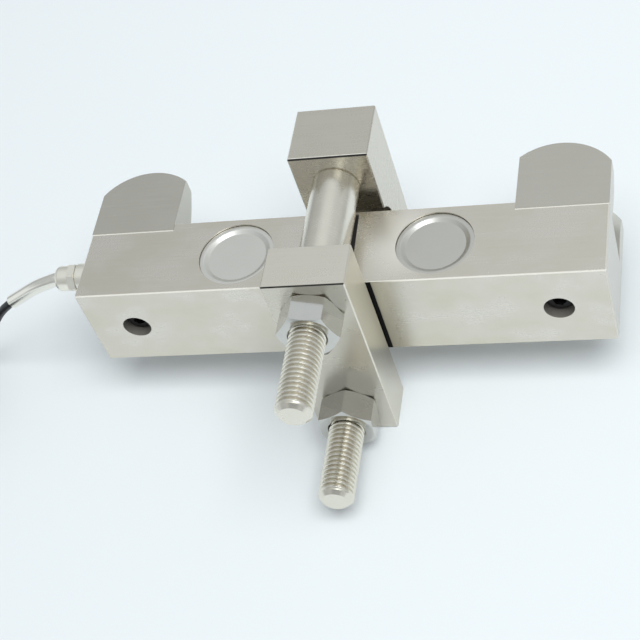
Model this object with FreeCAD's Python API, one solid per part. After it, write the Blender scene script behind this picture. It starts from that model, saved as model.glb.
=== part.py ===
import FreeCAD, Part
import math
import os

from FreeCAD import Vector

# Wire rope tension sensor, in millimetres.
# X runs along the bar, Y runs back towards the rope, Z is up from the floor.
# Y distances below are counted from the bar's own axis. Each finished piece is then moved by FRAME_Y,
# which puts the origin on the floor under the middle of the sensor's outline.

# Sensor bar
BAR_HALF_LENGTH = 90.0
BAR_HALF_DEPTH = 15.5
BAR_BOTTOM = 20.8
BAR_TOP = 56.0
BAR_MIDDLE = (BAR_BOTTOM + BAR_TOP) / 2
BAR_EDGE = 0.4

# Gauge pockets, milled from the top and from the underside
POCKET_X = 34.2
POCKET_RADIUS = 12.0
LEDGE_RADIUS = 13.1
LEDGE_DEPTH = 1.3
WEB_HALF_THICKNESS = 3.5

# Wire ways
WIRE_Z = 48.0
WIRE_WAY_RADIUS = 2.0
WEB_HOLE_Y = 10.3
WEB_HOLE_RADIUS = 1.0

# Rope saddles: turned V-groove segments on upright axes
SADDLE_X = 73.0
SADDLE_Y = 20.8
SADDLE_RADIUS = 20.0
SADDLE_HALF_HEIGHT = 17.8
SADDLE_INNER_X = 59.5
SADDLE_SEAT_Y = 12.0
SADDLE_EDGE = 0.5
TIP_EDGE = 0.35
GROOVE_HALF_MOUTH = 12.0
GROOVE_ROOT_RADIUS = 4.0

# M5 socket screws that hold the saddles
SCREW_RADIUS = 2.5
SCREW_HEAD_RADIUS = 4.25
SCREW_HEAD_HEIGHT = 5.0
SCREW_SEAT_Y = -7.5
SCREW_TIP_Y = 22.5
SCREW_KEY = 4.0
SCREW_KEY_DEPTH = 2.6
COUNTERBORE_RADIUS = 5.0
CLEARANCE_RADIUS = 2.75

# Clamp
CLAMP_HALF_WIDTH = 13.7
CLAMP_HEIGHT = 77.5
CLAMP_EDGE = 0.4
PLATE_FRONT_Y = -33.6
PLATE_REAR_Y = -17.3
PLATE_HOLE_RADIUS = 6.25
BLOCK_FRONT_Y = 20.8
BLOCK_REAR_Y = 43.7
BLOCK_HOLE_DEPTH = 15.0
ROPE_GROOVE_RADIUS = 15.6
ROPE_GROOVE_Y = 12.2
ROPE_GROOVE_Z = BAR_MIDDLE

# M12 shouldered studs and nuts
STUD_LOWER_Z = 12.8
STUD_UPPER_Z = 64.1
STUD_THREAD_RADIUS = 6.0
STUD_SHANK_RADIUS = 8.0
STUD_UPPER_TIP_Y = -73.2
STUD_LOWER_TIP_Y = -71.2
STUD_SPIGOT = 14.0
STUD_CHAMFER = 1.5
NUT_FLATS = 18.0
NUT_HEIGHT = 10.0
NUT_UPPER_TURN = 7.6
NUT_LOWER_TURN = 33.5

# Sunken pocket covers, pressed from sheet
COVER_RADIUS = 12.95
COVER_SHEET = 0.6
COVER_SINK = 0.9
COVER_RIM = 11.6
COVER_FLOOR = 10.1

# Strain gauges and bridge board
GAUGE_LENGTH = 11.0
GAUGE_WIDTH = 8.5
GAUGE_THICKNESS = 0.2
GAUGE_Y = -1.5
BOARD_LENGTH = 14.0
BOARD_WIDTH = 4.0
BOARD_THICKNESS = 1.0
BOARD_Y = 6.5

# Gland on the left end; distances are counted outwards from the end face
GLAND_SPIGOT = 7.0
GLAND_SPIGOT_RADIUS = 4.0
GLAND_COLLAR = 4.9
GLAND_COLLAR_RADIUS = 5.0
GLAND_NECK = 8.6
GLAND_NECK_RADIUS = 3.5
GLAND_BORE = 1.9
CAP_START = 5.3
CAP_HEX_END = 8.0
CAP_END = 13.1
CAP_CORNER_RADIUS = 5.05
CAP_FLATS = 8.8
CAP_RADIUS = 4.45
CAP_LIP = 1.8
CAP_BORE = 2.75
SEAL_END = 11.3

# Strain relief tube and cable
TUBE_RADIUS = 2.5
TUBE_BORE = 1.65
CABLE_RADIUS = 1.6
TUBE_ROUTE = [(-98.6, 0, WIRE_Z), (-103.5, 0, WIRE_Z), (-113.0, 0, 44.6), (-125.9, 0, 37.0)]
CABLE_ROUTE = [
    (-120.9, 0, 39.946),
    (-129.4, 0, 34.938),
    (-137.0, 0, 27.2),
    (-144.5, 0, 16.5),
    (-152.5, 0, 6.6),
    (-163.0, 0, 2.2),
    (-172.0, 0, 2.75),
]

# Put-away coil, tied, on the floor
COIL_X = -172.0
COIL_Y = -23.8
COIL_BOTTOM = 1.1
COIL_TOP = 20.7
COIL_INNER = 12.05
COIL_OUTER = 25.45
COIL_ROUND = 4.0
TIE_THICKNESS = 0.9
TIE_WIDTH = 3.6
TIE_PLAY = 0.2
TAIL_ROUTE = [
    (-195.8, -23.8, 19.0),
    (-195.8, -37.0, 18.0),
    (-195.4, -48.0, 11.6),
    (-194.2, -59.0, 4.2),
    (-192.4, -71.0, 1.8),
    (-190.2, -81.0, 1.65),
]
CORE_RADIUS = 0.45
CORE_LENGTH = 22.0
CORE_SPREAD = 0.62

# From the middle of the outline, stud tips to block back, to the bar's axis
FRAME_Y = -(STUD_UPPER_TIP_Y + BLOCK_REAR_Y) / 2

os.makedirs("parts", exist_ok=True)


def save(shape, node):
    """Move one finished piece into the sensor's frame and write it under its name."""
    shape = shape.copy()
    shape.translate(Vector(0, FRAME_Y, 0))
    shape.exportStep("parts/" + node + ".step")
    print(node, round(shape.Volume, 2), shape.isValid(), len(shape.Solids))


def block(x0, x1, y0, y1, z0, z1):
    return Part.makeBox(x1 - x0, y1 - y0, z1 - z0, Vector(x0, y0, z0))


def rod(radius, start, end):
    start = Vector(*start)
    along = Vector(*end) - start
    return Part.makeCylinder(radius, along.Length, start, along)


def rounded_face(corners):
    """Closed flat face from (x, y, round) corners, with tangent arcs where round is above zero."""
    edges = []
    count = len(corners)
    ends = []
    for i in range(count):
        x, y, radius = corners[i]
        here = Vector(x, y, 0)
        before = Vector(*corners[i - 1][:2], 0) - here
        after = Vector(*corners[(i + 1) % count][:2], 0) - here
        before.normalize()
        after.normalize()
        if radius == 0:
            ends.append((here, here))
            continue
        half = before.getAngle(after) / 2
        reach = radius / math.tan(half)
        inward = before + after
        inward.normalize()
        start = here + before * reach
        finish = here + after * reach
        middle = here + inward * (radius / math.sin(half) - radius)
        edges.append(Part.Arc(start, middle, finish).toShape())
        ends.append((start, finish))
    for i in range(count):
        leave = ends[i][1]
        reach = ends[(i + 1) % count][0]
        if leave.distanceToPoint(reach) > 1e-6:
            edges.append(Part.LineSegment(leave, reach).toShape())
    return Part.Face(Part.Wire(Part.__sortEdges__(edges)))


def turned(corners, origin, axis):
    """Solid of revolution; each corner is (radius, distance along the axis, round)."""
    solid = rounded_face(corners).revolve(Vector(0, 0, 0), Vector(0, 1, 0), 360)
    turn = FreeCAD.Rotation(Vector(0, 1, 0), Vector(*axis))
    solid.Placement = FreeCAD.Placement(Vector(*origin), turn)
    return solid


def hex_prism(flats, origin, axis, height, turn_deg):
    """Hexagonal bar; at turn zero a corner points along the bar's X direction."""
    corner = flats / math.sqrt(3)
    points = []
    for i in range(7):
        angle = math.radians(60 * i)
        points.append(Vector(corner * math.cos(angle), corner * math.sin(angle), 0))
    prism = Part.Face(Part.makePolygon(points)).extrude(Vector(0, 0, height))
    prism.rotate(Vector(0, 0, 0), Vector(0, 0, 1), turn_deg)
    turn = FreeCAD.Rotation(Vector(0, 0, 1), Vector(*axis))
    prism.Placement = FreeCAD.Placement(Vector(*origin), turn).multiply(prism.Placement)
    return prism


def routed(points, radius):
    """Round cord along straight runs that are joined by tangent arcs."""
    points = [Vector(*p) for p in points]
    edges = []
    leave = points[0]
    for i in range(1, len(points) - 1):
        here = points[i]
        back = points[i - 1] - here
        ahead = points[i + 1] - here
        shorter = min(back.Length, ahead.Length)
        back.normalize()
        ahead.normalize()
        half_turn = (math.pi - back.getAngle(ahead)) / 2
        reach = 0.45 * shorter
        bend = reach / math.tan(half_turn)
        inward = back + ahead
        inward.normalize()
        start = here + back * reach
        finish = here + ahead * reach
        middle = here + inward * (bend / math.cos(half_turn) - bend)
        edges.append(Part.LineSegment(leave, start).toShape())
        edges.append(Part.Arc(start, middle, finish).toShape())
        print("  bend radius", round(bend, 1))
        leave = finish
    edges.append(Part.LineSegment(leave, points[-1]).toShape())
    path = Part.Wire(edges)
    ring = Part.Circle(points[0], points[1] - points[0], radius).toShape()
    solid = path.makePipeShell([Part.Wire(ring)], True, False)
    print("  length", round(path.Length, 1), "volume ratio",
          round(solid.Volume / (math.pi * radius ** 2 * path.Length), 4))
    return solid


def make_bar():
    bar = block(-BAR_HALF_LENGTH, BAR_HALF_LENGTH, -BAR_HALF_DEPTH, BAR_HALF_DEPTH, BAR_BOTTOM, BAR_TOP)
    bar = bar.makeChamfer(BAR_EDGE, bar.Edges)
    cuts = []
    for side in (-1, 1):
        inner = side * SADDLE_INNER_X
        outer = side * (BAR_HALF_LENGTH + 1)
        cuts.append(block(min(inner, outer), max(inner, outer), SADDLE_SEAT_Y, BAR_HALF_DEPTH + 1,
                          BAR_BOTTOM - 1, BAR_TOP + 1))
        x = side * POCKET_X
        cuts.append(rod(LEDGE_RADIUS, (x, 0, BAR_TOP - LEDGE_DEPTH), (x, 0, BAR_TOP + 1)))
        cuts.append(rod(POCKET_RADIUS, (x, 0, BAR_MIDDLE + WEB_HALF_THICKNESS), (x, 0, BAR_TOP + 1)))
        cuts.append(rod(LEDGE_RADIUS, (x, 0, BAR_BOTTOM - 1), (x, 0, BAR_BOTTOM + LEDGE_DEPTH)))
        cuts.append(rod(POCKET_RADIUS, (x, 0, BAR_BOTTOM - 1), (x, 0, BAR_MIDDLE - WEB_HALF_THICKNESS)))
        cuts.append(rod(WEB_HOLE_RADIUS, (x, WEB_HOLE_Y, BAR_MIDDLE - WEB_HALF_THICKNESS - 1),
                        (x, WEB_HOLE_Y, BAR_MIDDLE + WEB_HALF_THICKNESS + 1)))
        x = side * SADDLE_X
        seat = (x, SCREW_SEAT_Y, BAR_MIDDLE)
        cuts.append(rod(COUNTERBORE_RADIUS, (x, -BAR_HALF_DEPTH - 1, BAR_MIDDLE), seat))
        cuts.append(rod(CLEARANCE_RADIUS, seat, (x, BAR_HALF_DEPTH, BAR_MIDDLE)))
    cuts.append(rod(WIRE_WAY_RADIUS, (-BAR_HALF_LENGTH - 1, 0, WIRE_Z), (POCKET_X, 0, WIRE_Z)))
    cuts.append(rod(GLAND_SPIGOT_RADIUS, (-BAR_HALF_LENGTH - 1, 0, WIRE_Z),
                    (-BAR_HALF_LENGTH + GLAND_SPIGOT, 0, WIRE_Z)))
    return bar.cut(cuts)


def make_saddle(side):
    """V-groove sheave segment: the rounded root is tangent to both 45 degree flanks."""
    apex = SADDLE_RADIUS - GROOVE_HALF_MOUTH
    high = SADDLE_HALF_HEIGHT
    mouth = GROOVE_HALF_MOUTH
    profile = [
        (0, -high, 0),
        (SADDLE_RADIUS - TIP_EDGE, -high, 0),
        (SADDLE_RADIUS, -high + TIP_EDGE, 0),
        (SADDLE_RADIUS, -mouth - TIP_EDGE, 0),
        (SADDLE_RADIUS - TIP_EDGE, -mouth + TIP_EDGE, 0),
        (apex, 0, GROOVE_ROOT_RADIUS),
        (SADDLE_RADIUS - TIP_EDGE, mouth - TIP_EDGE, 0),
        (SADDLE_RADIUS, mouth + TIP_EDGE, 0),
        (SADDLE_RADIUS, high - TIP_EDGE, 0),
        (SADDLE_RADIUS - TIP_EDGE, high, 0),
        (0, high, 0),
    ]
    sheave = turned(profile, (side * SADDLE_X, SADDLE_Y, BAR_MIDDLE), (0, 0, 1))
    inner = side * SADDLE_INNER_X
    outer = side * BAR_HALF_LENGTH
    keep = block(min(inner, outer), max(inner, outer), SADDLE_SEAT_Y, SADDLE_Y + SADDLE_RADIUS + 1,
                 BAR_MIDDLE - high, BAR_MIDDLE + high)
    front = []
    for edge in keep.Edges:
        middle = edge.CenterOfMass
        if abs(middle.y - SADDLE_SEAT_Y) < 0.01 and abs(middle.x - (inner + outer) / 2) < 0.01:
            front.append(edge)
    keep = keep.makeChamfer(SADDLE_EDGE, front)
    hole = rod(SCREW_RADIUS, (side * SADDLE_X, SADDLE_SEAT_Y - 1, BAR_MIDDLE),
               (side * SADDLE_X, SCREW_TIP_Y + 1.5, BAR_MIDDLE))
    return sheave.common(keep).cut(hole)


def make_saddle_screw(side):
    length = SCREW_TIP_Y - SCREW_SEAT_Y
    profile = [
        (0, -SCREW_HEAD_HEIGHT, 0),
        (SCREW_HEAD_RADIUS - 0.4, -SCREW_HEAD_HEIGHT, 0),
        (SCREW_HEAD_RADIUS, -SCREW_HEAD_HEIGHT + 0.4, 0),
        (SCREW_HEAD_RADIUS, 0, 0),
        (SCREW_RADIUS, 0, 0),
        (SCREW_RADIUS, length - 0.5, 0),
        (SCREW_RADIUS - 0.5, length, 0),
        (0, length, 0),
    ]
    screw = turned(profile, (side * SADDLE_X, SCREW_SEAT_Y, BAR_MIDDLE), (0, 1, 0))
    face = SCREW_SEAT_Y - SCREW_HEAD_HEIGHT
    key = hex_prism(SCREW_KEY, (side * SADDLE_X, face, BAR_MIDDLE), (0, 1, 0), SCREW_KEY_DEPTH, 12 * side)
    return screw.cut(key)


def make_clamp_plate():
    plate = block(-CLAMP_HALF_WIDTH, CLAMP_HALF_WIDTH, PLATE_FRONT_Y, PLATE_REAR_Y, 0, CLAMP_HEIGHT)
    plate = plate.makeChamfer(CLAMP_EDGE, plate.Edges)
    holes = []
    for z in (STUD_LOWER_Z, STUD_UPPER_Z):
        holes.append(rod(PLATE_HOLE_RADIUS, (0, PLATE_FRONT_Y - 1, z), (0, PLATE_REAR_Y + 1, z)))
    return plate.cut(holes)


def make_clamp_block():
    body = block(-CLAMP_HALF_WIDTH, CLAMP_HALF_WIDTH, BLOCK_FRONT_Y, BLOCK_REAR_Y, 0, CLAMP_HEIGHT)
    body = body.makeChamfer(CLAMP_EDGE, body.Edges)
    cuts = [rod(ROPE_GROOVE_RADIUS, (-CLAMP_HALF_WIDTH - 1, ROPE_GROOVE_Y, ROPE_GROOVE_Z),
                (CLAMP_HALF_WIDTH + 1, ROPE_GROOVE_Y, ROPE_GROOVE_Z))]
    hole_end = BLOCK_FRONT_Y + BLOCK_HOLE_DEPTH
    for z in (STUD_LOWER_Z, STUD_UPPER_Z):
        cuts.append(rod(STUD_THREAD_RADIUS, (0, BLOCK_FRONT_Y - 1, z), (0, hole_end, z)))
    return body.cut(cuts)


def make_stud(z, tip_y):
    shank = BLOCK_FRONT_Y - PLATE_REAR_Y
    thread = PLATE_REAR_Y - tip_y
    profile = [
        (0, -STUD_SPIGOT, 0),
        (STUD_THREAD_RADIUS - STUD_CHAMFER, -STUD_SPIGOT, 0),
        (STUD_THREAD_RADIUS, -STUD_SPIGOT + STUD_CHAMFER, 0),
        (STUD_THREAD_RADIUS, 0, 0),
        (STUD_SHANK_RADIUS - CLAMP_EDGE, 0, 0),
        (STUD_SHANK_RADIUS, CLAMP_EDGE, 0),
        (STUD_SHANK_RADIUS, shank - CLAMP_EDGE, 0),
        (STUD_SHANK_RADIUS - CLAMP_EDGE, shank, 0),
        (STUD_THREAD_RADIUS, shank, 0),
        (STUD_THREAD_RADIUS, shank + thread - STUD_CHAMFER, 0),
        (STUD_THREAD_RADIUS - STUD_CHAMFER, shank + thread, 0),
        (0, shank + thread, 0),
    ]
    return turned(profile, (0, BLOCK_FRONT_Y, z), (0, -1, 0))


def make_nut(z, turn_deg):
    """Hexagon nut with shallow corner chamfers on both faces and a countersunk bore."""
    corner = NUT_FLATS / math.sqrt(3)
    washer = NUT_FLATS / 2 - 0.1
    drop = (corner + 0.3 - washer) * math.tan(math.radians(25))
    profile = [
        (STUD_THREAD_RADIUS + 0.5, 0, 0),
        (washer, 0, 0),
        (corner + 0.3, drop, 0),
        (corner + 0.3, NUT_HEIGHT - drop, 0),
        (washer, NUT_HEIGHT, 0),
        (STUD_THREAD_RADIUS + 0.5, NUT_HEIGHT, 0),
        (STUD_THREAD_RADIUS, NUT_HEIGHT - 0.5, 0),
        (STUD_THREAD_RADIUS, 0.5, 0),
    ]
    blank = turned(profile, (0, PLATE_FRONT_Y, z), (0, -1, 0))
    prism = hex_prism(NUT_FLATS, (0, PLATE_FRONT_Y, z), (0, -1, 0), NUT_HEIGHT, 0)
    prism.rotate(Vector(0, 0, z), Vector(0, 1, 0), turn_deg)
    return blank.common(prism)


def make_cover(side, up):
    """Thin pressed cup: rim flange on the pocket ledge, sloping wall, flat sunken floor."""
    bend = 0.3
    sheet = COVER_SHEET
    slope = (COVER_RIM - COVER_FLOOR) / COVER_SINK
    under = sheet * (math.sqrt(1 + slope * slope) - slope)
    profile = [
        (0, sheet - COVER_SINK, 0),
        (COVER_FLOOR, sheet - COVER_SINK, bend),
        (COVER_RIM, sheet, bend + sheet),
        (COVER_RADIUS, sheet, 0),
        (COVER_RADIUS, 0, 0),
        (COVER_RIM + under, 0, bend),
        (COVER_FLOOR + under, -COVER_SINK, bend + sheet),
        (0, -COVER_SINK, 0),
    ]
    if up:
        return turned(profile, (side * POCKET_X, 0, BAR_TOP - LEDGE_DEPTH), (0, 0, 1))
    return turned(profile, (side * POCKET_X, 0, BAR_BOTTOM + LEDGE_DEPTH), (0, 0, -1))


def make_gauge(side, up):
    x = side * POCKET_X
    if up:
        low = BAR_MIDDLE + WEB_HALF_THICKNESS
    else:
        low = BAR_MIDDLE - WEB_HALF_THICKNESS - GAUGE_THICKNESS
    return block(x - GAUGE_LENGTH / 2, x + GAUGE_LENGTH / 2, GAUGE_Y - GAUGE_WIDTH / 2,
                 GAUGE_Y + GAUGE_WIDTH / 2, low, low + GAUGE_THICKNESS)


def make_board():
    low = BAR_MIDDLE + WEB_HALF_THICKNESS
    return block(-POCKET_X - BOARD_LENGTH / 2, -POCKET_X + BOARD_LENGTH / 2, BOARD_Y - BOARD_WIDTH / 2,
                 BOARD_Y + BOARD_WIDTH / 2, low, low + BOARD_THICKNESS)


def make_signal_leads():
    top = BAR_MIDDLE + WEB_HALF_THICKNESS + BOARD_THICKNESS
    return routed([
        CABLE_ROUTE[0],
        TUBE_ROUTE[2],
        TUBE_ROUTE[1],
        (-48.0, 0, WIRE_Z),
        (-42.5, 3.2, WIRE_Z - 0.8),
        (-39.0, BOARD_Y, top + 1.8),
        (-36.5, BOARD_Y, top + 0.6),
    ], 0.6)


def make_link_leads():
    top = BAR_MIDDLE + WEB_HALF_THICKNESS + BOARD_THICKNESS
    gauge = BAR_MIDDLE + WEB_HALF_THICKNESS + GAUGE_THICKNESS
    return routed([
        (-33.0, BOARD_Y, top + 0.6),
        (-30.5, BOARD_Y - 0.5, top + 1.8),
        (-26.5, 2.6, WIRE_Z - 0.6),
        (-21.0, 0, WIRE_Z),
        (23.0, 0, WIRE_Z),
        (28.0, 0, gauge + 3.4),
        (31.5, 0, gauge + 0.6),
    ], 0.6)


def make_web_leads():
    low = BAR_MIDDLE - WEB_HALF_THICKNESS
    high = BAR_MIDDLE + WEB_HALF_THICKNESS
    wires = []
    for side in (-1, 1):
        x = side * POCKET_X
        wires.append(routed([
            (x, 1.4, low - 0.65),
            (x, 4.6, low - 2.8),
            (x, WEB_HOLE_Y, low - 3.6),
            (x, WEB_HOLE_Y, high + 2.5),
            (x - 4, WEB_HOLE_Y - 1.4, high + 2.6),
        ], 0.4))
    return Part.makeCompound(wires)


def make_gland_body():
    profile = [
        (GLAND_BORE, -GLAND_SPIGOT, 0),
        (GLAND_SPIGOT_RADIUS - 0.4, -GLAND_SPIGOT, 0),
        (GLAND_SPIGOT_RADIUS, -GLAND_SPIGOT + 0.4, 0),
        (GLAND_SPIGOT_RADIUS, 0, 0),
        (GLAND_COLLAR_RADIUS, 0, 0),
        (GLAND_COLLAR_RADIUS, GLAND_COLLAR, 0.35),
        (GLAND_NECK_RADIUS, GLAND_COLLAR, 0),
        (GLAND_NECK_RADIUS, GLAND_NECK, 0),
        (TUBE_RADIUS, GLAND_NECK, 0),
        (GLAND_BORE, GLAND_NECK - 0.6, 0),
    ]
    return turned(profile, (-BAR_HALF_LENGTH, 0, WIRE_Z), (-1, 0, 0))


def make_gland_cap():
    """Cap nut: chamfered wrench flats on the bar side and a smooth domed end."""
    profile = [
        (GLAND_NECK_RADIUS, CAP_START, 0),
        (CAP_CORNER_RADIUS - 0.5, CAP_START, 0),
        (CAP_CORNER_RADIUS, CAP_START + 0.45, 0),
        (CAP_CORNER_RADIUS, CAP_HEX_END, 0),
        (CAP_RADIUS, CAP_HEX_END, 0),
        (CAP_RADIUS, CAP_END, 1.6),
        (CAP_BORE, CAP_END, 0),
        (CAP_BORE, CAP_END - CAP_LIP, 0),
        (GLAND_NECK_RADIUS, CAP_END - CAP_LIP, 0),
    ]
    cap = turned(profile, (-BAR_HALF_LENGTH, 0, WIRE_Z), (-1, 0, 0))
    band = rod(CAP_CORNER_RADIUS + 1, (-BAR_HALF_LENGTH - CAP_START, 0, WIRE_Z),
               (-BAR_HALF_LENGTH - CAP_HEX_END, 0, WIRE_Z))
    flats = hex_prism(CAP_FLATS, (-BAR_HALF_LENGTH - CAP_START, 0, WIRE_Z), (-1, 0, 0),
                      CAP_HEX_END - CAP_START, 26)
    return cap.cut(band.cut(flats))


def make_gland_seal():
    profile = [
        (TUBE_RADIUS, GLAND_NECK, 0),
        (GLAND_NECK_RADIUS, GLAND_NECK, 0),
        (GLAND_NECK_RADIUS, SEAL_END, 0),
        (TUBE_RADIUS, SEAL_END, 0),
    ]
    return turned(profile, (-BAR_HALF_LENGTH, 0, WIRE_Z), (-1, 0, 0))


def make_tube():
    return routed(TUBE_ROUTE, TUBE_RADIUS).cut(routed(TUBE_ROUTE, TUBE_BORE))


def make_coil():
    """Closed outer shape of the tied turns."""
    edge = COIL_ROUND
    profile = [
        (COIL_INNER, COIL_BOTTOM, edge),
        (COIL_OUTER, COIL_BOTTOM, edge),
        (COIL_OUTER, COIL_TOP, edge),
        (COIL_INNER, COIL_TOP, edge),
    ]
    return turned(profile, (COIL_X, COIL_Y, 0), (0, 0, 1))


def make_tie():
    """Strap around the coil's section on its front side, with the lock head outside."""
    def loop(grow, edge):
        outer = COIL_Y - COIL_OUTER - grow
        inner = COIL_Y - COIL_INNER + grow
        return [(outer, COIL_BOTTOM - grow, edge), (inner, COIL_BOTTOM - grow, edge),
                (inner, COIL_TOP + grow, edge), (outer, COIL_TOP + grow, edge)]

    wide = rounded_face(loop(TIE_THICKNESS + TIE_PLAY, COIL_ROUND + TIE_THICKNESS))
    hole = rounded_face(loop(TIE_PLAY, COIL_ROUND))
    strap = wide.cut(hole).extrude(Vector(0, 0, TIE_WIDTH))
    frame = FreeCAD.Matrix(0, 0, 1, COIL_X - TIE_WIDTH / 2, 1, 0, 0, 0, 0, 1, 0, 0, 0, 0, 0, 1)
    strap.Placement = FreeCAD.Placement(frame)
    face = COIL_Y - COIL_OUTER - TIE_THICKNESS
    head = block(COIL_X - 2.9, COIL_X + 2.9, face - 3.6, face, 8.4, 13.2)
    head = head.makeFillet(0.7, head.Edges)
    stub = block(COIL_X - TIE_WIDTH / 2, COIL_X + TIE_WIDTH / 2, face - 2.4, face - 1.3, 12.0, 18.0)
    return strap.fuse([head, stub]).removeSplitter()


def make_cores():
    end = Vector(*TAIL_ROUTE[-1])
    along = end - Vector(*TAIL_ROUTE[-2])
    along.normalize()
    cores = []
    for i in range(4):
        angle = math.radians(45 + 90 * i)
        off = Vector(CORE_SPREAD * math.cos(angle), 0, CORE_SPREAD * math.sin(angle))
        lean = Vector((i - 1.5) * 0.16, 0, -0.004 - 0.022 * (off.z > 0))
        cores.append(Part.makeCylinder(CORE_RADIUS, CORE_LENGTH + i, end + off, along + lean))
    return Part.makeCompound(cores)


save(make_bar(), "beam_body")
for name, side in (("left", -1), ("right", 1)):
    save(make_saddle(side), "rope_saddle_" + name)
    save(make_saddle_screw(side), "saddle_screw_" + name)
    save(make_cover(side, True), "cover_top_" + name)
    save(make_cover(side, False), "cover_bottom_" + name)
    save(make_gauge(side, True), "gauge_top_" + name)
    save(make_gauge(side, False), "gauge_bottom_" + name)
save(make_clamp_plate(), "clamp_plate")
save(make_clamp_block(), "clamp_block")
save(make_stud(STUD_UPPER_Z, STUD_UPPER_TIP_Y), "clamp_stud_upper")
save(make_stud(STUD_LOWER_Z, STUD_LOWER_TIP_Y), "clamp_stud_lower")
save(make_nut(STUD_UPPER_Z, NUT_UPPER_TURN), "clamp_nut_upper")
save(make_nut(STUD_LOWER_Z, NUT_LOWER_TURN), "clamp_nut_lower")
save(make_board(), "bridge_board")
save(make_signal_leads(), "signal_leads")
save(make_link_leads(), "link_leads")
save(make_web_leads(), "web_leads")
save(make_gland_body(), "gland_body")
save(make_gland_cap(), "gland_cap_nut")
save(make_gland_seal(), "gland_seal")
save(make_tube(), "strain_relief_tube")
coil = make_coil()
save(routed(CABLE_ROUTE, CABLE_RADIUS).cut(coil), "cable")
save(coil, "cable_coil")
save(make_tie(), "coil_tie")
save(routed(TAIL_ROUTE, CABLE_RADIUS).cut(coil), "cable_tail")
save(make_cores(), "cable_cores")
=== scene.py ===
# %% [markdown]
# # A wire rope tension sensor
# The sensor is a nickel-plated steel bar. A rope runs behind two V-grooved saddles on its ends, and a
# clamp on two studs draws the rope towards the middle of the bar, which bends a little and is measured.
# The solids come from the CAD frame. This lesson gives them their finish, and makes what is too fine for
# solids: screw threads, the cable with its coil, and its stripped cores. All of it is in metres, in the
# frame of the solids, so a piece goes where the solid is and nothing has to be fitted.

# %% Load the frame
import math

import bmesh
import bpy
from mathutils import Matrix, Vector


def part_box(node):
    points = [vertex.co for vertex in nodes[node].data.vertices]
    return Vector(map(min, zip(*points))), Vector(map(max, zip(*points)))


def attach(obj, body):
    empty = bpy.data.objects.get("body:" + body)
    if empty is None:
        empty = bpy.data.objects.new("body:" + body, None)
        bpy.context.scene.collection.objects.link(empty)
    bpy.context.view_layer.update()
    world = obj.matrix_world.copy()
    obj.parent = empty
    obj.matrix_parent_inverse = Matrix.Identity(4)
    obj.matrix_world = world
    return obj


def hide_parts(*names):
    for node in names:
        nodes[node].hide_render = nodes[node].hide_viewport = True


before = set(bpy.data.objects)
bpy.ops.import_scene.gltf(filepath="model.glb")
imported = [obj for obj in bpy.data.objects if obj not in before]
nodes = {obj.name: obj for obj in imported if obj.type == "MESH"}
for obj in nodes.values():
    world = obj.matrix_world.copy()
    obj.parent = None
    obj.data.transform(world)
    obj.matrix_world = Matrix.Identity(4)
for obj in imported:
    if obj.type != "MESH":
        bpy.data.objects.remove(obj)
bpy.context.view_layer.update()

MM = 0.001
BAR_Y = 14.75  # the bar's axis, in millimetres from the frame's origin

# %% [markdown]
# The camera comes first, because everything else is judged through it. Its place was found by fitting
# the corners of the bar and the clamp to where they lie in a picture of 640 by 640. Aiming it with a
# constraint would lose the slight roll of the picture, so its three axes are written out: the picture's
# right, its up, and the way back from it.

# %% Camera
CAMERA_PLACE = Vector((145.51, -318.33, 435.33)) * MM
PICTURE_RIGHT = Vector((0.95692, 0.14468, -0.25173))
LOOKING = Vector((-0.28727, 0.59773, -0.74846))
FOCAL_PIXELS = 1588.59

back = -LOOKING.normalized()
up = back.cross(PICTURE_RIGHT).normalized()
camera_data = bpy.data.cameras.new("camera")
camera_data.sensor_fit = "HORIZONTAL"
camera_data.sensor_width = 36.0
camera_data.lens = FOCAL_PIXELS / 640 * 36.0
camera_data.clip_start = 0.01
camera = bpy.data.objects.new("camera", camera_data)
axes = Matrix((up.cross(back), up, back)).transposed().to_4x4()
camera.matrix_world = Matrix.Translation(CAMERA_PLACE) @ axes
bpy.context.scene.collection.objects.link(camera)
bpy.context.scene.camera = camera
print("lens", round(camera_data.lens, 2), "mm")

# %% [markdown]
# The cable is 3 m of round jacket, 3.2 mm thick. It leaves a bent tube, drops to the floor under its own
# weight, and is wound into a tied coil, as it is sold. A chain of straight cylinders would look like bent
# wire, so the whole length is one smooth spline. Its first and last points are given one by one. The turns
# between them are worked out: six layers of four turns, each turn a step further in or out, and the last
# turn of a layer climbs onto the next.

# %% The cable's line
CABLE_RADIUS = 1.6
RISE = [(-120.9, 0, 39.946), (-129.4, 0, 34.938), (-137.0, 0, 27.2), (-144.5, 0, 16.5), (-152.5, 0, 6.6),
        (-163.0, 0, 2.2), (-172.0, 0, 2.75)]
TAIL = [(-195.8, -37.0, 18.0), (-195.4, -48.0, 11.6), (-194.2, -59.0, 4.2), (-192.4, -71.0, 1.8),
        (-190.2, -81.0, 1.65)]
COIL_X, COIL_Y = -172.0, -23.8
LAYERS, TURNS, STEPS = 6, 4, 16
OUTER_TURN, TURN_PITCH = 23.8, 3.3
FLOOR_TURN, LAYER_PITCH = 2.75, 3.25
CORNER_CUT = 0.981  # how far inside its points a spline of this order runs, at 16 points a turn


def ease(value):
    value = min(max(value, 0.0), 1.0)
    return value * value * (3 - 2 * value)


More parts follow.
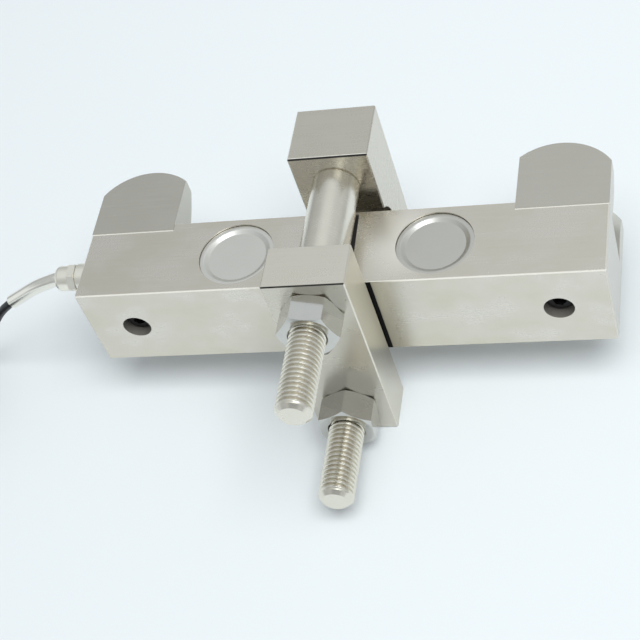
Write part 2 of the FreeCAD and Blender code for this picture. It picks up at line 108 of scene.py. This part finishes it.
def coil_point(turns):
    """A point of the coil after so many turns from its start behind the coil's middle."""
    whole = min(int(turns), LAYERS * TURNS - 1)
    part = turns - whole
    layer, step = divmod(whole, TURNS)
    place = step if layer % 2 == 0 else TURNS - 1 - step
    before = place if step == 0 else place + (-1 if layer % 2 == 0 else 1)
    last = whole == LAYERS * TURNS - 1
    radial = before + (place - before) * ease(part / 0.15)
    climb = ease((part - 0.78) / 0.19) if step == TURNS - 1 and not last else 0.0
    radius = (OUTER_TURN - radial * TURN_PITCH) / CORNER_CUT
    angle = math.radians(90) + turns * math.tau
    return (COIL_X + radius * math.cos(angle), COIL_Y + radius * math.sin(angle),
            FLOOR_TURN + (layer + climb) * LAYER_PITCH)


turns_made = [(k + 1) / STEPS for k in range(LAYERS * TURNS * STEPS + STEPS // 4)]
cable_points = RISE + [coil_point(turns) for turns in turns_made] + TAIL


def in_frame(point):
    return Vector((point[0], point[1] + BAR_Y, point[2])) * MM


def smooth_curve(name, lines, radius, smooth_along=4, smooth_around=4):
    """Round cords along smooth lines, each given by its control points in millimetres."""
    curve = bpy.data.curves.new(name, "CURVE")
    curve.dimensions = "3D"
    curve.bevel_depth = 1.0  # times each point's own radius
    curve.bevel_resolution = smooth_around
    curve.resolution_u = smooth_along
    curve.use_fill_caps = True
    for points in lines:
        spline = curve.splines.new("NURBS")
        spline.points.add(len(points) - 1)
        for made, point in zip(spline.points, points):
            made.co = (*in_frame(point), 1.0)
            made.radius = radius * MM
        spline.order_u = 3
        spline.use_endpoint_u = True
    cord = bpy.data.objects.new(name, curve)
    bpy.context.scene.collection.objects.link(cord)
    return cord


cable = smooth_curve("signal_cable", [cable_points], CABLE_RADIUS)
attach(cable, "root")
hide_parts("cable", "cable_coil", "cable_tail")
print("cable of", len(cable_points), "points")

# %% [markdown]
# Four thin cores come out of the cable's end, two for the supply and two for the signal, each in its own
# colour with a bared copper tip. They are short splines that spread a little, since they are stiff enough
# to keep the bend that stripping gave them.

# %% Stripped cores
CORE_RADIUS, TIP_RADIUS = 0.45, 0.26
CORE_RING, CORE_LENGTH, CORE_SPREAD = 0.62, 18.0, 0.16
CORE_COLOURS = {"red": (0.52, 0.03, 0.025), "black": (0.02, 0.02, 0.022), "green": (0.03, 0.24, 0.07),
                "white": (0.78, 0.77, 0.73)}
core_pieces = []
tip_lines = []
end = Vector(TAIL[-1])
along = (end - Vector(TAIL[-2])).normalized()
for i, colour in enumerate(CORE_COLOURS):
    angle = math.radians(45 + 90 * i)
    start = end + Vector((CORE_RING * math.cos(angle), 0, CORE_RING * math.sin(angle))) - along * 0.6
    lean = along + Vector(((i - 1.5) * CORE_SPREAD, 0, -0.004 - 0.022 * (math.sin(angle) > 0)))
    length = CORE_LENGTH + i
    bend = Vector(((i - 1.5) * 0.5, 0, 0))
    points = [start, start + along * 4, start + lean * length * 0.6 - bend, start + lean * length]
    core = smooth_curve("core_" + colour, [points], CORE_RADIUS, 6, 3)
    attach(core, "root")
    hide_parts("cable_cores")
    core_pieces.append(core)
    outward = (points[3] - points[2]).normalized()
    tip_lines.append([points[3] - outward * 0.5, points[3] + outward * 2, points[3] + outward * 4.4])
core_tips = smooth_curve("core_tips", tip_lines, TIP_RADIUS, 4, 3)
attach(core_tips, "root")
print("cores:", [core.name for core in core_pieces])

# %% [markdown]

print("cable ready")

# %% [markdown]
# A finish is made of many small sums, and a sum reads best as a sum. This class holds one output socket.
# Plus, minus and times on it add Math nodes. Any other node comes from its node method, which takes the
# node's type, its settings, and what goes into its sockets.

# %% A socket that can be added and multiplied
class Wire:
    def __init__(self, tree, socket):
        self.tree = tree
        self.socket = socket

    @staticmethod
    def node(tree, kind, settings=None, **sockets):
        """Add a node, set it, feed it, and return its output named by the setting out."""
        made = tree.nodes.new(kind)
        settings = dict(settings or {})
        out = settings.pop("out", 0)
        for name, value in settings.items():
            setattr(made, name, value)
        for name, value in sockets.items():
            place = next(s for s in made.inputs if s.enabled and s.name == name.replace("_", " "))
            plug(place, value)
        if out == 0:
            return Wire(tree, next(s for s in made.outputs if s.enabled))
        return Wire(tree, made.outputs[out])

    def math(self, operation, first, second=0.0):
        made = self.tree.nodes.new("ShaderNodeMath")
        made.operation = operation
        plug(made.inputs[0], first)
        plug(made.inputs[1], second)
        return Wire(self.tree, made.outputs[0])

    def __add__(self, other):
        return self.math("ADD", self, other)

    def __radd__(self, other):
        return self.math("ADD", other, self)

    def __sub__(self, other):
        return self.math("SUBTRACT", self, other)

    def __rsub__(self, other):
        return self.math("SUBTRACT", other, self)

    def __mul__(self, other):
        return self.math("MULTIPLY", self, other)

    def __rmul__(self, other):
        return self.math("MULTIPLY", other, self)

    def __abs__(self):
        return self.math("ABSOLUTE", self)

    def root(self):
        return self.math("SQRT", self)

    def split(self):
        made = self.tree.nodes.new("ShaderNodeSeparateXYZ")
        plug(made.inputs[0], self)
        return [Wire(self.tree, out) for out in made.outputs]

    def above(self, edge, width):
        """A soft step from 0 to 1 around an edge."""
        return Wire.node(self.tree, "ShaderNodeMapRange", {"interpolation_type": "SMOOTHSTEP"},
                         Value=self, From_Min=edge - width, From_Max=edge + width)


def plug(place, value):
    if isinstance(value, Wire):
        value.tree.links.new(value.socket, place)
    else:
        place.default_value = value


def blend(tree, factor, first, second):
    """Two colours mixed by a mask."""
    return Wire.node(tree, "ShaderNodeMix", {"data_type": "RGBA"}, Factor=factor, A=first, B=second)


print("shader sums ready")

# %% [markdown]
# Light comes before colour, because bare metal shows mostly what stands around it. Small steel parts are
# usually pictured in a light tent, so the world is a pale dome, brighter to the right and overhead. A
# darker patch on the camera's side shades the stud tips, a bright patch above lights slopes and thread
# flanks, and a low glow stands at the left. Reflections show the dome as it is. Matt surfaces get a plain
# share of it, so that a colour renders about as it is written.

# %% World
PLAIN = 0.6  # the share of the dome's light that reaches matt surfaces
DARK_FRONT = (0.10, -0.83, 0.54)
BRIGHT_ABOVE = (0.30, -0.36, 0.88)
TENT_TINT = (0.955, 1.0, 1.03, 1)

world = bpy.data.worlds.new("light_tent")
bpy.context.scene.world = world
world.use_nodes = True
dome = world.node_tree
direction = Wire.node(dome, "ShaderNodeTexCoord", {"out": "Generated"})
across, depth, height = direction.split()


def towards(target):
    """How closely a direction points to a target, up to about 1."""
    return across * target[0] + depth * target[1] + height * target[2]


side_light = across.above(-0.30, 0.35)
rise = height.above(0.22, 0.22)
ceiling = height.above(0.70, 0.05)
walls = 0.40 + rise * 0.14 + side_light * 0.13 + ceiling * 0.175
dark_front = towards(DARK_FRONT).above(0.915, 0.03)
bright_above = towards(BRIGHT_ABOVE).above(0.945, 0.02)
low_left = (0 - across).above(0.80, 0.08) * (1 - height.above(0.30, 0.10))
glow = low_left * depth.above(-0.50, 0.08) * (1 - depth.above(0.25, 0.10))
tent = (walls + glow * 0.45 + bright_above * 2.3) * (1 - dark_front * 0.42)
looks = [Wire.node(dome, "ShaderNodeLightPath", {"out": "Is " + kind + " Ray"})
         for kind in ("Camera", "Glossy", "Transmission")]
seen = (looks[0] + looks[1] + looks[2]).above(0.5, 0.1)
brightness = tent * (PLAIN + (1 - PLAIN) * seen)
paint = Wire.node(dome, "ShaderNodeMix", {"data_type": "RGBA", "blend_type": "MULTIPLY"}, Factor=1.0,
                  A=TENT_TINT, B=brightness)
plug(dome.nodes["Background"].inputs["Color"], paint)
dome.nodes["Background"].inputs["Strength"].default_value = 1.0
print("dome of", len(dome.nodes), "shader nodes")

# %% [markdown]
# One wide soft lamp stands above, a little in front and to the right. It lights the paper and casts the
# soft shadow under the bar. Metal would show it as a hard white window, which a tent doesn't have, so
# reflections leave it out.

# %% Lamp
lamp_data = bpy.data.lights.new("tent_top", "AREA")
lamp_data.shape = "RECTANGLE"
lamp_data.size = 0.9
lamp_data.size_y = 0.7
lamp_data.energy = 10.8
lamp = bpy.data.objects.new("tent_top", lamp_data)
lamp.location = (0.27, -0.32, 1.15)
lamp.rotation_euler = (0.271, 0.231, 0)  # aimed near the frame's origin
lamp.visible_glossy = False
bpy.context.scene.collection.objects.link(lamp)
bpy.context.scene.view_settings.view_transform = "Standard"
print("lamp of", lamp_data.energy, "W")

# %% [markdown]
# The object stands on pale paper that is a little blue. A curved sheet would do, but a plane is enough:
# it fills every reflection that looks down, and it keeps the soft shadow. It is painted a little darker far
# out, as shade where the light falls off. Towards the back it glows faintly: painted light, standing in for
# a sheet that rises into the light there.

# %% Paper floor
def new_finish(name, **constants):
    """A material with one main shader; constants go straight onto the shader's sockets."""
    material = bpy.data.materials.new(name)
    material.use_nodes = True
    shader = material.node_tree.nodes["Principled BSDF"]
    for socket, value in constants.items():
        shader.inputs[socket.replace("_", " ")].default_value = value
    return material, material.node_tree, shader


def feed(shader, **sockets):
    for socket, value in sockets.items():
        plug(shader.inputs[socket.replace("_", " ")], value)


NEAR_PAPER, FAR_PAPER = (0.708, 0.750, 0.770, 1), (0.60, 0.633, 0.65, 1)
FRONT_GLOW, BACK_GLOW = (0.82, 0.875, 0.895, 1), (2.6, 2.75, 2.8, 1)
SIDE = 3.0
paper, tree, shader = new_finish("pale_paper", Roughness=0.9, Specular_IOR_Level=0.1,
                                 Emission_Strength=0.06)
x, y, _ = Wire.node(tree, "ShaderNodeTexCoord", {"out": "Object"}).split()
# Painted shade far out, and painted light as a glow towards the back.
far = (x * x + y * y).root().above(0.80, 0.3)
to_back = y.above(0.10, 0.35)
feed(shader, Base_Color=blend(tree, far, NEAR_PAPER, FAR_PAPER),
     Emission_Color=blend(tree, to_back, FRONT_GLOW, BACK_GLOW))
floor_mesh = bpy.data.meshes.new("floor")
floor_mesh.from_pydata([(-SIDE, -SIDE, 0), (SIDE, -SIDE, 0), (SIDE, SIDE, 0), (-SIDE, SIDE, 0)], [],
                       [(0, 1, 2, 3)])
floor_mesh.materials.append(paper)
floor = bpy.data.objects.new("floor", floor_mesh)
floor.location.z = -0.0002  # a hair below the feet, so that no faces share a plane
bpy.context.scene.collection.objects.link(floor)
print("floor of", 2 * SIDE, "m")

# %% [markdown]
# The bar, its saddles and the clamp are ground steel under a thin nickel plating: warm silver, with fine
# grinding lines and cloudy patches where the plating took differently. The lines could be painted along
# each face. A noise that is squeezed across and stretched along one direction follows every face by
# itself, and the surface's own direction tells an end face, whose lines run along Y, from the others.

# %% Ground and plated steel
def places(tree, scale=(1, 1, 1)):
    """The surface's place in the frame, in millimetres, stretched for a grain."""
    where = Wire.node(tree, "ShaderNodeTexCoord", {"out": "Object"})
    return Wire.node(tree, "ShaderNodeMapping", Vector=where, Scale=[s / MM for s in scale])


def noise(tree, where, scale, detail=2.0, roughness=0.5):
    return Wire.node(tree, "ShaderNodeTexNoise", {"out": "Fac"}, Vector=where, Scale=scale,
                     Detail=detail, Roughness=roughness)


def bumped(tree, height, depth_mm):
    return Wire.node(tree, "ShaderNodeBump", Strength=1.0, Distance=depth_mm * MM, Height=height)


def ground_steel(name, bright, dull, rough, clouds, relief, patches=()):
    """Ground and plated steel. A patch is a mask with the colour, metal and roughness that it has there."""
    material, tree, shader = new_finish(name)
    facing = Wire.node(tree, "ShaderNodeNewGeometry", {"out": "Normal"}).split()
    end_face = abs(facing[0]).above(0.7, 0.05)
    flat_face = abs(facing[2]).above(0.7, 0.05)
    along = noise(tree, places(tree, (0.03, 1, 1)), 1.3, 3.0, 0.6)
    across = noise(tree, places(tree, (1, 0.03, 1)), 1.3, 3.0, 0.6)
    lines = along + (across - along) * end_face
    cloud = noise(tree, places(tree, (0.7, 1, 1)), 0.07, 3.0, 0.55).above(0.5, 0.2)
    speck = noise(tree, places(tree), 1.2, 3.0, 0.6)
    tone = (0.5 + (lines - 0.5) * (0.3 + flat_face * 0.4) + (speck - 0.5) * 0.15
            + (cloud - 0.5) * (0.9 * clouds) * (1 - flat_face * 0.4))
    colour = blend(tree, tone, dull, bright)
    roughness = rough + (lines - 0.5) * 0.08 + (cloud - 0.5) * (0.05 * clouds) + (speck - 0.5) * 0.04
    metal = 1.0
    for mask_of, patch_colour, patch_metal, patch_rough in patches:
        mask = mask_of(tree)
        colour = blend(tree, mask, colour, patch_colour)
        roughness = roughness + (patch_rough - roughness) * mask
        metal = metal + (patch_metal - metal) * mask
    feed(shader, Base_Color=colour, Roughness=roughness, Metallic=metal,
         Normal=bumped(tree, lines, relief))
    return material


print("ground steel ready")

# %% [markdown]
# Lit edges get a painted highlight, and narrow gaps get painted shade. Both could be painted by hand, but a
# mask made from a surface's place in millimetres stays exact. Two planes meet in an edge, and the mask is 1
# on what is close to both of them.

# %% Masks for edges
# A painted highlight: a pale matt colour for lit edges.
EDGE_HIGHLIGHT = (0.767, 0.75, 0.683, 1)
# A painted shade: a near black for narrow gaps and dark edge lines.
PAINTED_SHADE = (0.012, 0.011, 0.010, 1)


def millimetres(node):
    """The corners of a node's box."""
    return [[value / MM for value in corner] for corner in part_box(node)]


def on_edges(edges, width):
    """A mask that is 1 along edges. Two planes meet in an edge, and each is given by axis and distance."""
    def mask(tree):
        place = dict(zip("xyz", places(tree).split()))
        total = 0.0
        for axis, distance, other_axis, other_distance, strength in edges:
            away = abs(place[axis] - distance).above(width, width * 0.25)
            other_away = abs(place[other_axis] - other_distance).above(width, width * 0.25)
            total = (1 - away) * (1 - other_away) * strength + total
        return total
    return mask


def dress(finish, *names):
    """Give nodes a finish through their own material slots."""
    for name in names:
        piece = nodes[name]
        if not piece.material_slots:
            piece.data.materials.append(finish)
        for place in piece.material_slots:
            place.material = finish
    print(finish.name, "on", ", ".join(names))


bar_low, bar_high = millimetres("beam_body")
print("bar from", bar_low, "to", bar_high)

# %% [markdown]
# The bar shows the most. Its screw holes are dull inside and painted darker as shade. Painted shade lines
# the gaps beside the shank and behind the clamp plate, the front is painted darker next to the plate as
# shade, the right end is painted darker as shade, and the top has a painted highlight right of the shank.
# Each of these is a mask in millimetres, with a soft border where the real one is soft.

# %% Patches of the bar
SCREW_X, SCREW_Z, HOLE_RADIUS = 73.0, 38.4, 5.2
GAP_START, GAP_END, GAP_TAPER = 5.75, 7.75, 0.028
PLATE_SHADE = 14.5
SHADE_START, SHADE_END = 10.0, 20.5
HIGHLIGHT_X, HIGHLIGHT_Y, HIGHLIGHT_RADIUS = 23.0, BAR_Y + 2.0, 10.0


def on_bar_front(y):
    return 1 - y.above(bar_low[1] + 0.2, 0.1)


def on_bar_top(z):
    return z.above(bar_high[2] - 0.1, 0.05)


def shaded_counterbores(tree):
    """A mask that is 1 on the walls of the two screw holes in the bar's front, matt and painted darker as
    shade.
    """
    x, y, z = places(tree).split()
    across, above = abs(x) - SCREW_X, z - SCREW_Z
    inside = 1 - (across * across + above * above).root().above(HOLE_RADIUS, 0.1)
    return inside * y.above(bar_low[1] + 0.2, 0.1)


def shade_under_shank(tree):
    """A mask that is 1 on a line of painted shade in the narrow gap beside the upper stud's shank."""
    x, y, z = places(tree).split()
    side = x.above(GAP_START, 0.08) * (1 - (x + y * GAP_TAPER).above(GAP_END, 0.1))
    return side * on_bar_top(z) * (1 - y.above(BAR_Y + 14.5, 1.0))


def shade_behind_plate(tree):
    """A mask that is 1 on the bar's front where the plate lies close before it, for painted shade."""
    x, y, _ = places(tree).split()
    return (1 - abs(x).above(PLATE_SHADE, 0.15)) * on_bar_front(y)


def shade_beside_plate(tree):
    """A soft mask on the bar's front to the right of the plate, painted darker as the plate's shade."""
    x, y, _ = places(tree).split()
    return x.above(SHADE_START, 1.0) * (1 - x.above(SHADE_END, 6.0)) * on_bar_front(y)


def top_highlight(tree):
    """A mask for a painted highlight on the bar's top, right of the shank."""
    x, y, z = places(tree).split()
    across, along = x - HIGHLIGHT_X, (y - HIGHLIGHT_Y) * 0.8
    return (1 - (across * across + along * along).root().above(HIGHLIGHT_RADIUS, 8.0)) * on_bar_top(z)


# Painted shade: the bar's right end face is coloured darker.
def shaded_right_end(tree):
    return places(tree).split()[0].above(bar_high[0] - 0.15, 0.1)


print("patches of the bar ready")

# %% [markdown]
# The patches are laid over the plating in order, each with its colour, metal and roughness. The saddles
# are a little darker than the bar, with a painted highlight on the line where they meet it.

# %% Bar and saddles
# The bar's edges that get the painted highlight.
bar_edges = [("y", bar_low[1], "z", bar_high[2], 1.0),
             ("y", bar_high[1], "z", bar_high[2], 1.0),
             ("x", bar_low[0], "y", bar_low[1], 0.6),
             ("x", bar_high[0], "y", bar_low[1], 0.6),
             ("x", bar_low[0], "z", bar_high[2], 0.6),
             ("x", bar_high[0], "z", bar_high[2], 0.6)]
bar_patches = [(shaded_right_end, (0.58, 0.555, 0.50, 1), 1.0, 0.25),
               (top_highlight, (0.98, 0.94, 0.85, 1), 1.0, 0.3),
               (on_edges(bar_edges, 0.4), EDGE_HIGHLIGHT, 0.0, 0.5),
               (shaded_counterbores, (0.19, 0.18, 0.16, 1), 0.2, 0.55),
               (shade_beside_plate, (0.46, 0.43, 0.36, 1), 1.0, 0.28),
               (shade_under_shank, PAINTED_SHADE, 0.0, 0.6),
               (shade_behind_plate, PAINTED_SHADE, 0.7, 0.7)]
bar_plating = ground_steel("bar_plating", (0.735, 0.695, 0.635, 1), (0.665, 0.625, 0.525, 1),
                           0.25, 1.0, 0.002, bar_patches)
dress(bar_plating, "beam_body")

saddle_low, saddle_high = millimetres("rope_saddle_left")
# The saddle's front top edge gets the painted highlight.
saddle_edges = [("y", saddle_low[1], "z", saddle_high[2], 1.0)]
saddle_plating = ground_steel("saddle_plating", (0.625, 0.60, 0.535, 1), (0.565, 0.54, 0.475, 1),
                              0.25, 0.5, 0.002, [(on_edges(saddle_edges, 0.4), EDGE_HIGHLIGHT, 0.0, 0.5)])
dress(saddle_plating, "rope_saddle_left", "rope_saddle_right")

# %% [markdown]
# The clamp's plate and block are ground finer than the bar. A dark line of painted shade lies under the
# front edge of each top, the block's top has a thin painted highlight behind it, and the plate's back is
# painted dark as shade where it faces the bar. The plate's front is painted darker than its top as shade,
# its front side edges get a painted highlight, and its right side has painted light above and painted
# shade below.

# %% Clamp plate and block
plate_low, plate_high = millimetres("clamp_plate")
block_low, block_high = millimetres("clamp_block")
FACING_BAR_FROM, FACING_BAR_TO = 19.8, 57.0
SHADED_BELOW = 30.0


def shaded_plate_back(tree):
    """A mask that is 1 where the plate's back lies close to the bar, painted dark as shade."""
    _, y, z = places(tree).split()
    facing = z.above(FACING_BAR_FROM, 1.0) * (1 - z.above(FACING_BAR_TO, 1.0))
    return y.above(plate_high[1] - 0.3, 0.1) * facing


def shaded_plate_front(tree):
    """A mask on the plate's front for painted shade, weak enough to keep the grinding lines."""
    _, y, _ = places(tree).split()
    return (1 - y.above(plate_low[1] + 0.1, 0.05)) * 0.6


# Painted light: the plate's right side is coloured brighter.
def lit_right_side(tree):
    return places(tree).split()[0].above(plate_high[0] - 0.1, 0.05)


def shaded_low_right_side(tree):
    """A soft mask on the lower part of the plate's right side, for painted shade."""
    x, _, z = places(tree).split()
    return x.above(plate_high[0] - 0.1, 0.05) * (1 - z.above(SHADED_BELOW, 12.0))


def block_rim_highlight(tree):
    """A mask that is 1 on a thin line behind the front edge of the block's top, for a painted highlight."""
    _, y, z = places(tree).split()
    return z.above(block_high[2] - 0.1, 0.05) * (1 - y.above(block_low[1] + 0.62, 0.1))


# The plate's front side edges get a faint painted highlight.
plate_edges = [("y", plate_low[1], "x", plate_low[0], 0.3), ("y", plate_low[1], "x", plate_high[0], 0.3)]
# The plate's front top edge gets a line of painted shade.
plate_brow_shade = [("y", plate_low[1], "z", plate_high[2], 1.0)]
plate_patches = [(shaded_plate_front, (0.55, 0.525, 0.46, 1), 1.0, 0.28),
                 (on_edges(plate_edges, 0.3), EDGE_HIGHLIGHT, 0.2, 0.5),
                 (on_edges(plate_brow_shade, 0.4), PAINTED_SHADE, 0.5, 0.4),
                 (shaded_plate_back, (0.07, 0.065, 0.055, 1), 1.0, 0.3),
                 (lit_right_side, (0.86, 0.815, 0.705, 1), 1.0, 0.28),
                 (shaded_low_right_side, (0.64, 0.605, 0.52, 1), 1.0, 0.28)]
plate_plating = ground_steel("plate_plating", (0.81, 0.77, 0.685, 1), (0.745, 0.705, 0.615, 1),
                             0.28, 0.6, 0.0002, plate_patches)
dress(plate_plating, "clamp_plate")

# The block's front top edge gets a line of painted shade.
block_brow_shade = [("y", block_low[1], "z", block_high[2] - 0.15, 1.0)]
block_patches = [(block_rim_highlight, (0.94, 0.915, 0.845, 1), 0.0, 0.5),
                 (on_edges(block_brow_shade, 0.42), PAINTED_SHADE, 0.3, 0.4)]
clamp_plating = ground_steel("clamp_plating", (0.69, 0.655, 0.58, 1), (0.63, 0.595, 0.515, 1),
                             0.28, 0.6, 0.0003, block_patches)
dress(clamp_plating, "clamp_block")

# %% [markdown]
# The covers are thin pressed cups of matt stainless sheet. They have no grinding lines, only the fine
# grain of the rolled sheet. The right pair is a shaded copy, painted a little darker than the left.

# %% Pressed covers
def pressed_sheet(name, colour, shade, rough):
    material, tree, shader = new_finish(name, Metallic=1.0)
    grain = noise(tree, places(tree, (0.25, 1, 1)), 2.6, 4.0, 0.7)
    cloud = noise(tree, places(tree), 0.12, 2.0, 0.5)
    tone = 0.5 + (grain - 0.5) * 0.6 + (cloud - 0.5) * 0.6
    feed(shader, Base_Color=blend(tree, tone, shade, colour), Roughness=rough + (grain - 0.5) * 0.12,
         Normal=bumped(tree, grain, 0.004))
    return material


cover_sheet = pressed_sheet("cover_sheet", (0.80, 0.785, 0.73, 1), (0.73, 0.715, 0.665, 1), 0.32)
shaded_sheet = pressed_sheet("shaded_sheet", (0.68, 0.665, 0.615, 1), (0.615, 0.60, 0.555, 1), 0.32)
dress(cover_sheet, "cover_top_left", "cover_bottom_left")
dress(shaded_sheet, "cover_top_right", "cover_bottom_right")

# %% [markdown]
# The nuts are bright nickel, smoother than the bar, with faint tool marks. The gland is paler and more
# satin, and the bent stainless tube is drawn along its length. All three are the same recipe with other
# colours, roughness and stretch of the marks.

# %% Bright nickel
def bright_nickel(name, colour, shade, rough, stretch=(1, 1, 1)):
    material, tree, shader = new_finish(name, Metallic=1.0)
    marks = noise(tree, places(tree, stretch), 2.2, 4.0, 0.65)
    smear = noise(tree, places(tree), 0.22, 2.0, 0.5)
    tone = 0.5 + (marks - 0.5) * 0.6 + (smear - 0.5) * 0.6
    feed(shader, Base_Color=blend(tree, tone, shade, colour),
         Roughness=rough + (marks - 0.5) * 0.10 + (smear - 0.5) * 0.10, Normal=bumped(tree, marks, 0.004))
    return material


nut_nickel = bright_nickel("nut_nickel", (0.64, 0.635, 0.605, 1), (0.55, 0.545, 0.515, 1), 0.15)
gland_nickel = bright_nickel("gland_nickel", (0.97, 0.94, 0.84, 1), (0.87, 0.835, 0.735, 1), 0.32,
                             (1, 0.1, 0.1))
tube_steel = bright_nickel("tube_steel", (0.96, 0.935, 0.86, 1), (0.86, 0.835, 0.765, 1), 0.2, (0.05, 1, 1))
dress(nut_nickel, "clamp_nut_upper", "clamp_nut_lower")
dress(gland_nickel, "gland_body", "gland_cap_nut")
dress(tube_steel, "strain_relief_tube")

# %% [markdown]
# Each clamp stud is turned from one bar: a thick shank between plate and block, and a thread from the
# plate to the tip. The solid has a plain rod for the thread. Bump could draw the turns, but the outline
# and the light on the crests need real geometry, so a fine grid of rings is made, and each ring is cut to
# the depth that a screw line of 1.75 mm pitch has at each angle.

# %% Threaded studs
PITCH, THREAD_RADIUS, THREAD_DEPTH = 1.75, 5.98, 1.07
SPIGOT_END, BLOCK_FACE, PLATE_BACK = 34.8, 20.8, -17.3
THREAD_START, TIP_CHAMFER = -30.0, 1.5
SHANK_RADIUS, SHANK_EDGE = 8.0, 0.4
AROUND, RINGS_PER_PITCH = 72, 18
CREST, FLANK = 0.22, 0.72
RUNOUT_START, RUNOUT = 0.9, 1.6  # the thread fades out towards the tip
STUDS = {"upper": (64.1, -73.2, 0.4), "lower": (12.8, -71.2, 2.1)}  # height, tip, start angle


def thread_cut(turns):
    """How deep the thread is cut, from 0 on a crest to 1 in a root, along one turn."""
    return ease((abs((turns % 1.0) - 0.5) * 2 - CREST) / FLANK)


def stud_rings(tip):
    """Rings along the stud: a distance from the bar's axis, and a radius for each angle."""
    plain = [(SPIGOT_END, THREAD_RADIUS - TIP_CHAMFER), (SPIGOT_END - TIP_CHAMFER, THREAD_RADIUS),
             (BLOCK_FACE, THREAD_RADIUS), (BLOCK_FACE, SHANK_RADIUS - SHANK_EDGE),
             (BLOCK_FACE - SHANK_EDGE, SHANK_RADIUS), (PLATE_BACK + SHANK_EDGE, SHANK_RADIUS),
             (PLATE_BACK, SHANK_RADIUS - SHANK_EDGE), (PLATE_BACK, THREAD_RADIUS)]
    rings = [(y, [radius] * AROUND) for y, radius in plain]
    count = round((THREAD_START - tip) / PITCH * RINGS_PER_PITCH)
    for k in range(count + 1):
        y = THREAD_START + (tip - THREAD_START) * k / count
        run_in, run_out = ease((THREAD_START - y) / PITCH), ease((y - tip - RUNOUT_START) / RUNOUT)
        depth = THREAD_DEPTH * run_in * run_out
        limit = THREAD_RADIUS - TIP_CHAMFER + (y - tip)
        radii = []
        for j in range(AROUND):
            cut = depth * thread_cut((THREAD_START - y) / PITCH - j / AROUND)
            radii.append(min(THREAD_RADIUS - cut, limit))
        rings.append((y, radii))
    return rings


def make_stud(name, height, tip, turned_by):
    mesh = bpy.data.meshes.new(name)
    grid = bmesh.new()
    rows = []
    for y, radii in stud_rings(tip):
        row = []
        for j, radius in enumerate(radii):
            angle = math.tau * j / AROUND + turned_by
            place = (radius * math.sin(angle), y, height + radius * math.cos(angle))
            row.append(grid.verts.new(in_frame(place)))
        rows.append(row)
    for first, second in zip(rows, rows[1:]):
        for j in range(AROUND):
            k = (j + 1) % AROUND
            grid.faces.new((first[j], first[k], second[k], second[j]))
    grid.faces.new(list(reversed(rows[0])))
    grid.faces.new(rows[-1])
    bmesh.ops.recalc_face_normals(grid, faces=grid.faces)
    grid.to_mesh(mesh)
    grid.free()
    mesh.shade_smooth()
    mesh.set_sharp_from_angle(angle=math.radians(40))
    stud = bpy.data.objects.new(name, mesh)
    bpy.context.scene.collection.objects.link(stud)
    return stud


stud_nickel = bright_nickel("stud_nickel", (0.84, 0.805, 0.715, 1), (0.735, 0.70, 0.61, 1), 0.25,
                            (0.08, 1, 0.08))
for level, (height, tip, turned_by) in STUDS.items():
    stud = make_stud("threaded_stud_" + level, height, tip, turned_by)
    stud.data.materials.append(stud_nickel)
    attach(stud, "root")
    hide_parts("clamp_stud_" + level)
    print(stud.name, "with", len(stud.data.polygons), "faces")

# %% [markdown]
# The cable's jacket is black plastic with a soft shine. The tie is nylon, the gland's seal is rubber, and
# the screws have a black oxide skin. Each is a dark colour with a fine grain, and differs in shine.

# %% Black jacket, nylon tie, oxide screws, rubber seal
def dark_skin(name, colour, dust, rough, grain_scale, depth_mm, **constants):
    material, tree, shader = new_finish(name, **constants)
    grain = noise(tree, places(tree), grain_scale, 4.0, 0.6)
    wear = noise(tree, places(tree), 0.15, 3.0, 0.6).above(0.55, 0.2)
    tone = (grain - 0.35) * 0.5 + wear * 0.35
    feed(shader, Base_Color=blend(tree, tone, colour, dust),
         Roughness=rough + (grain - 0.5) * 0.15 + wear * 0.08, Normal=bumped(tree, grain, depth_mm))
    return material


jacket = dark_skin("black_jacket", (0.009, 0.010, 0.012, 1), (0.022, 0.023, 0.026, 1), 0.33, 3.0, 0.01)
cable.data.materials.append(jacket)
nylon = dark_skin("tie_nylon", (0.03, 0.03, 0.032, 1), (0.065, 0.065, 0.068, 1), 0.42, 5.0, 0.006)
dress(nylon, "coil_tie")
oxide = dark_skin("black_oxide", (0.018, 0.018, 0.019, 1), (0.05, 0.048, 0.045, 1), 0.36, 4.0, 0.008,
                  Metallic=0.6)
dress(oxide, "saddle_screw_left", "saddle_screw_right")
rubber = dark_skin("seal_rubber", (0.02, 0.02, 0.02, 1), (0.04, 0.04, 0.04, 1), 0.7, 2.0, 0.02)
dress(rubber, "gland_seal")

# %% [markdown]
# The cores are coloured plastic and their tips are twisted copper. Inside the bar are things that only
# show when the covers are off: foil gauges on amber film, a green laminate board, and thin leads. They
# get plain versions of the same recipes, so that the part is right when it is opened.

# %% Cores, tips and what is inside
def plastic(name, colour, rough):
    dust = tuple(min(1.0, 0.85 * value + 0.05) for value in colour)
    return dark_skin(name, (*colour, 1), (*dust, 1), rough, 3.0, 0.004)


for core, (colour_name, colour) in zip(core_pieces, CORE_COLOURS.items()):
    core.data.materials.append(plastic("insulation_" + colour_name, colour, 0.4))
copper = bright_nickel("bare_copper", (0.80, 0.42, 0.26, 1), (0.62, 0.29, 0.17, 1), 0.3, (3, 0.3, 3))
core_tips.data.materials.append(copper)
dress(plastic("gauge_film", (0.62, 0.33, 0.07), 0.35), "gauge_top_left", "gauge_top_right",
      "gauge_bottom_left", "gauge_bottom_right")
dress(plastic("board_green", (0.02, 0.16, 0.06), 0.35), "bridge_board")
dress(plastic("lead_white", (0.70, 0.69, 0.65), 0.45), "signal_leads", "link_leads", "web_leads")
